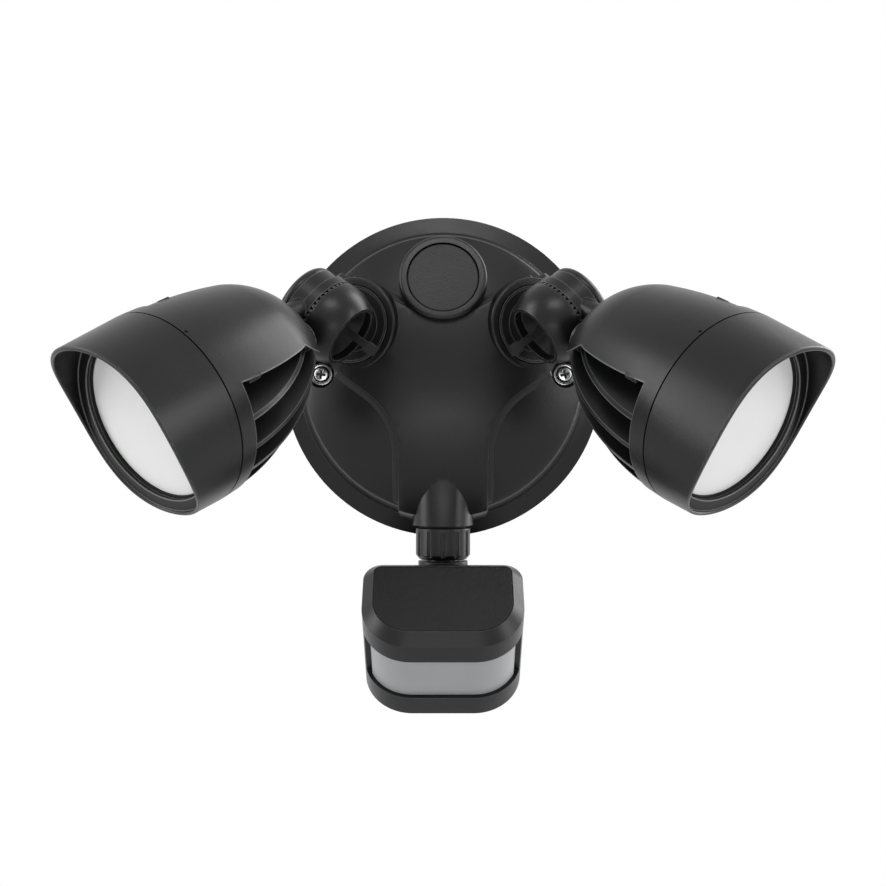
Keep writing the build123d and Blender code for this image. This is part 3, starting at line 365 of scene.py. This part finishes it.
# Wall screws: a profile turned about the screw's axis, from the crowned head with its cross recess to the
# tip. The recess is a cross-shaped mask times a depth that lessens along the arms; the thread's radius is a
# triangle wave of the distance along the axis plus the share of the turn, which makes it right-handed.
def makeScrews():
    screw = dict(
        spacing=88.9, seat=22.1, crown=1.5, fall=0.25, topRadius=2.05, edgeRound=0.45, headRadius=2.55,
        neck=1.7, crest=2.08, pitch=0.794, reach=18.0, point=1.2, flank=1.3, root=0.15,
        armWidth=0.4, armLength=1.62, recess=1.15, shallow=0.5, wall=0.12, turns=(10.0, -16.0),
        columns=96, topRows=44, bendRows=9, pitchRows=10,
    )
    turn = np.linspace(0.0, -2 * np.pi, screw["columns"], endpoint=False)[None, :]
    top = np.linspace(0.0, screw["topRadius"], screw["topRows"])
    bend = np.linspace(0.0, np.pi / 2, screw["bendRows"])[1:]
    threadRows = int(screw["reach"] / screw["pitch"] * screw["pitchRows"])
    back = np.linspace(0.0, screw["reach"], threadRows)
    low = screw["crown"] - screw["fall"] - screw["edgeRound"]
    radius = np.concatenate([
        top,
        screw["topRadius"] + screw["edgeRound"] * np.sin(bend),
        [screw["headRadius"], screw["neck"], screw["neck"]],
        np.full(threadRows, screw["crest"]),
        [0.0],
    ])
    height = np.concatenate([
        screw["crown"] - screw["fall"] * (top / screw["topRadius"]) ** 2,
        low + screw["edgeRound"] * np.cos(bend),
        [0.0, 0.0, -screw["seat"]],
        -screw["seat"] - back,
        [-screw["seat"] - screw["reach"]],
    ])
    grids = []
    shadedFloors = []
    for side, angle in zip((-1, 1), np.radians(screw["turns"])):
        level = np.repeat(height[:, None], screw["columns"], axis=1)
        reach = np.repeat(radius[:, None], screw["columns"], axis=1)
        one = np.abs(reach * np.cos(turn + angle))
        two = np.abs(reach * np.sin(turn + angle))
        across, along = np.minimum(one, two), np.maximum(one, two)
        inside = np.clip((screw["armWidth"] - across) / screw["wall"] + 0.5, 0, 1)
        inside = inside * np.clip((screw["armLength"] - along) / screw["wall"] + 0.5, 0, 1)
        cut = inside * screw["recess"] * (1 - screw["shallow"] * along / screw["armLength"])
        level[: len(top)] -= cut[: len(top)]
        shadedFloors.append(inside > 0.5)
        wave = (back[:, None] / screw["pitch"] + turn / (2 * np.pi)) % 1.0
        ridge = np.clip(screw["flank"] * (1 - np.abs(2 * wave - 1)) - screw["root"], 0, 1)
        ridge = ridge * np.clip((screw["reach"] - back[:, None]) / screw["point"], 0, 1)
        ridge = ridge * np.clip(back[:, None] / screw["pitch"], 0, 1)
        reach[-threadRows - 1 : -1] = screw["neck"] + (screw["crest"] - screw["neck"]) * ridge
        middle = side * screw["spacing"] / 2
        depth = -screw["seat"] - level
        grids.append(np.stack([middle + reach * np.cos(turn), depth, reach * np.sin(turn)], axis=-1))
    screws = ringMesh("crossScrews", grids)
    screws.data.materials.append(finish["zincPlate"])
    screws.data.materials.append(finish["blackOxide"])  # painted shade: the floor of the recess is darker
    # Painted shade: the faces at the floor of the recess take the dark finish.
    shaded = np.zeros((len(grids), len(radius) - 1, screw["columns"]), dtype=np.int32)
    shaded[:, : len(top)] = np.stack(shadedFloors)[:, : len(top)]
    screws.data.polygons.foreach_set("material_index", shaded.ravel())
    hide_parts("wall_screws")
    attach(screws, "base")


makeScrews()


# Bonded washers: a closed section turned about the screw's axis, with a low half-ellipse for its face
def makeWashers():
    washer = dict(
        spacing=88.9, seat=21.5, inner=2.95, outer=4.09, sealRadius=3.36, sealTop=0.62, face=0.24,
        columns=96, faceRows=21,
    )
    turn = np.linspace(0.0, 2 * np.pi, washer["columns"], endpoint=False)[None, :]
    sweep = np.linspace(0.0, np.pi, washer["faceRows"])
    half = (washer["outer"] - washer["inner"]) / 2
    reach = np.concatenate([
        [washer["outer"]],
        washer["inner"] + half + half * np.cos(sweep),
        [washer["sealRadius"], washer["sealRadius"], washer["outer"]],
    ])[:, None]
    level = np.concatenate([
        [0.0],
        washer["sealTop"] + washer["face"] * np.sin(sweep),
        [washer["sealTop"], 0.0, 0.0],
    ])
    depth = np.repeat(-washer["seat"] - level[:, None], washer["columns"], axis=1)
    grids = []
    for side in (-1, 1):
        middle = side * washer["spacing"] / 2
        grids.append(np.stack([middle + reach * np.cos(turn), depth, reach * np.sin(turn)], axis=-1))
    washers = ringMesh("bondedWashers", grids)
    washers.data.materials.append(finish["zincPlate"])
    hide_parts("screw_washers")
    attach(washers, "base")


makeWashers()


# Sloped shoulder along the edges of the raised land: one closed section carried along each edge. The field
# is a spherical dome, so its depth is the crown less the rise of an arc at that radius. The section shrinks
# and sinks at both ends.
def makeLandShoulders():
    field = dict(crown=35.9, shoulderDepth=22.0, shoulderRadius=50.8)
    edge = dict(
        stem=16.4, hip=-29.2, hipRadius=27.1, armAngle=35.7, foot=-47.4, armReach=14.2,
        capHeight=33.9, tipRadius=15.0, ridgeAngle=28.6, ridgeFrom=4.2, ridgeTo=30.0,
        rows=200, fade=1.2, sink=0.1, sharp=np.radians(40.0),
    )
    section = np.array([  # across the edge towards the field, height above the field
        (-0.5, 0.92), (0.0, 0.95), (0.25, 0.92), (0.6, 0.8), (1.0, 0.64), (1.4, 0.48), (1.65, 0.38),
        (1.8, 0.3), (1.9, 0.18), (1.95, 0.0), (1.95, -0.3), (-0.5, -0.3),
    ])
    drop = field["crown"] - field["shoulderDepth"]
    ball = (field["shoulderRadius"] ** 2 + drop**2) / (2 * drop)
    part = np.linspace(0.0, 1.0, edge["rows"])
    # The stem's edge goes up from the foot, round the hip and out along the arm
    hipTurn = np.radians(90 - edge["armAngle"])
    legs = np.array([edge["hip"] - edge["foot"], edge["hipRadius"] * hipTurn, edge["armReach"]])
    along = part * legs.sum()
    turned = np.clip((along - legs[0]) / edge["hipRadius"], 0.0, hipTurn)
    straight = np.clip(along, 0, legs[0])
    out = np.clip(along - legs[:2].sum(), 0.0, None)
    stemPath = np.stack([
        edge["stem"] + edge["hipRadius"] * (1 - np.cos(turned)) + out * np.sin(hipTurn),
        edge["foot"] + straight + edge["hipRadius"] * np.sin(turned) + out * np.cos(hipTurn),
    ], axis=-1)
    stemOut = np.stack([np.cos(turned), -np.sin(turned)], axis=-1)
    # The upper ridge leans, and runs in to its tip beside the cap
    lean = np.radians(edge["ridgeAngle"])
    ridgeLength = edge["ridgeTo"] - edge["ridgeFrom"]
    run = edge["ridgeTo"] - part * ridgeLength
    tip = np.array([np.sin(lean), -np.cos(lean)]) * edge["tipRadius"] + np.array([0.0, edge["capHeight"]])
    ridgePath = tip + run[:, None] * np.array([np.cos(lean), np.sin(lean)])
    ridgeOut = np.repeat(np.array([[-np.sin(lean), np.cos(lean)]]), edge["rows"], axis=0)
    grids = []
    for path, outward, length in ((stemPath, stemOut, legs.sum()), (ridgePath, ridgeOut, ridgeLength)):
        near = np.minimum(part, 1 - part) * length
        size = np.clip(near / edge["fade"], 0.0, 1.0)
        size = (size * size * (3 - 2 * size))[:, None]  # eased at both ends of the fade
        flat = path[:, None, :] + outward[:, None, :] * (section[None, :, 0] * size)[..., None]
        rise = ball - np.sqrt(ball**2 - (flat**2).sum(axis=-1))
        height = section[None, :, 1] * size - edge["sink"] * (1 - size)
        grid = np.stack([flat[..., 0], rise - field["crown"] - height, flat[..., 1]], axis=-1)
        grids += [grid, (grid * np.array([-1.0, 1.0, 1.0]))[:, ::-1]]
    shoulders = ringMesh("landShoulders", grids)
    shoulders.data.materials.append(finish["blackCoat"])
    split = shoulders.modifiers.new("partSharp", "EDGE_SPLIT")
    split.split_angle = edge["sharp"]
    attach(shoulders, "base")


makeLandShoulders()
print("screws, washers and land shoulders made")


# One where a ray comes from the camera, a reflection or through glass, else nought
def seenRay(tree):
    path = tree.nodes.new("ShaderNodeLightPath")
    seen = path.outputs["Is Camera Ray"]
    for kind in ("Is Glossy Ray", "Is Transmission Ray"):
        either = mathNode(tree, "ShaderNodeMath", "MAXIMUM")
        tree.links.new(seen, either.inputs[0])
        tree.links.new(path.outputs[kind], either.inputs[1])
        seen = either.outputs[0]
    return seen


# Floor: one wide pale sheet below the light, which fades to white away from the middle
def makeFloor():
    sheet = dict(half=6.0, level=-0.42, rows=9, tone=0.7, rough=0.9, fadeFrom=0.25, fadeTo=0.6)
    rows = sheet["rows"]
    side = np.linspace(-sheet["half"], sheet["half"], rows)
    across, along = np.meshgrid(side, side)
    points = np.stack([across, along, np.full_like(across, sheet["level"])], axis=-1).reshape(-1, 3)
    first = np.arange(rows - 1)[:, None] * rows + np.arange(rows - 1)[None, :]
    faces = np.stack([first, first + 1, first + rows + 1, first + rows], axis=-1).reshape(-1, 4)
    mesh = bpy.data.meshes.new("floor")
    mesh.from_pydata(points.tolist(), [], faces.tolist())
    floor = bpy.data.objects.new("floor", mesh)
    scene.collection.objects.link(floor)
    material, tree, shader = newMaterial("paleFloor")
    link = tree.links.new
    shader.inputs["Base Color"].default_value = (*[sheet["tone"]] * 3, 1.0)
    shader.inputs["Roughness"].default_value = sheet["rough"]
    shader.inputs["Specular IOR Level"].default_value = 0.0
    glow = tree.nodes.new("ShaderNodeEmission")
    where = tree.nodes.new("ShaderNodeTexCoord")
    flat = mathNode(tree, "ShaderNodeVectorMath", "MULTIPLY")
    flat.inputs[1].default_value = (1.0, 1.0, 0.0)  # the height drops out
    reach = mathNode(tree, "ShaderNodeVectorMath", "LENGTH")
    fade = rangeNode(tree, sheet["fadeFrom"], sheet["fadeTo"])
    fade.interpolation_type = "SMOOTHSTEP"
    seen = mathNode(tree, "ShaderNodeMath", "MULTIPLY")
    mix = tree.nodes.new("ShaderNodeMixShader")
    link(where.outputs["Object"], flat.inputs[0])
    link(flat.outputs["Vector"], reach.inputs[0])
    link(reach.outputs["Value"], fade.inputs["Value"])
    link(fade.outputs["Result"], seen.inputs[0])
    link(seenRay(tree), seen.inputs[1])
    link(seen.outputs[0], mix.inputs["Fac"])
    link(shader.outputs["BSDF"], mix.inputs[1])
    link(glow.outputs["Emission"], mix.inputs[2])
    link(mix.outputs["Shader"], tree.nodes["Material Output"].inputs["Surface"])
    mesh.materials.append(material)


makeFloor()


# World: white where it is seen, softer for the light that it gives
def makeWorld():
    strength = dict(seen=1.0, given=0.28)
    world = bpy.data.worlds.new("studio")
    world.use_nodes = True
    tree = world.node_tree
    shader = tree.nodes["Background"]
    shader.inputs["Color"].default_value = (1.0, 1.0, 1.0, 1.0)
    level = tree.nodes.new("ShaderNodeMapRange")
    level.inputs["To Min"].default_value = strength["given"]
    level.inputs["To Max"].default_value = strength["seen"]
    tree.links.new(seenRay(tree), level.inputs["Value"])
    tree.links.new(level.outputs["Result"], shader.inputs["Strength"])
    scene.world = world


makeWorld()


# Soft boxes: each an area light at a place, aimed at the middle of the object
def makeLights():
    lights = {
        "leftStrip": dict(place=(-1.08, -0.25, 0.3), wide=0.45, tall=1.1, power=9.0),
        "rightStrip": dict(place=(1.02, 0.38, 0.5), wide=0.6, tall=1.5, power=18.0),
        "rightFront": dict(place=(1.05, -0.55, 0.15), wide=0.3, tall=0.7, power=4.0),
        "frontTop": dict(place=(0.0, -1.15, 1.05), wide=0.7, tall=0.4, power=7.5),
        "frontFill": dict(place=(0.0, -0.98, -0.3), wide=0.6, tall=0.16, power=1.1),
    }
    middle = Vector((0.0, -0.05, -0.02))
    for name, look in lights.items():
        lamp = bpy.data.lights.new(name, "AREA")
        lamp.shape = "RECTANGLE"
        lamp.size = look["wide"]
        lamp.size_y = look["tall"]
        lamp.energy = look["power"]
        item = bpy.data.objects.new(name, lamp)
        item.location = look["place"]
        item.rotation_euler = (middle - item.location).to_track_quat("-Z", "Y").to_euler()
        scene.collection.objects.link(item)


makeLights()
print("floor, world and lights ready")


# Camera: level, square to the wall, in front of the canopy
def makeCamera():
    view = dict(place=(0.0, -0.4721, -0.02509), lens=49.98, sensor=36.0, nearest=0.01)
    lens = bpy.data.cameras.new("photoView")
    lens.lens = view["lens"]
    lens.sensor_width = view["sensor"]
    lens.clip_start = view["nearest"]
    camera = bpy.data.objects.new("photoView", lens)
    camera.location = view["place"]
    camera.rotation_euler = (np.pi / 2, 0.0, 0.0)
    scene.collection.objects.link(camera)
    scene.camera = camera


makeCamera()
scene.view_settings.view_transform = "Standard"
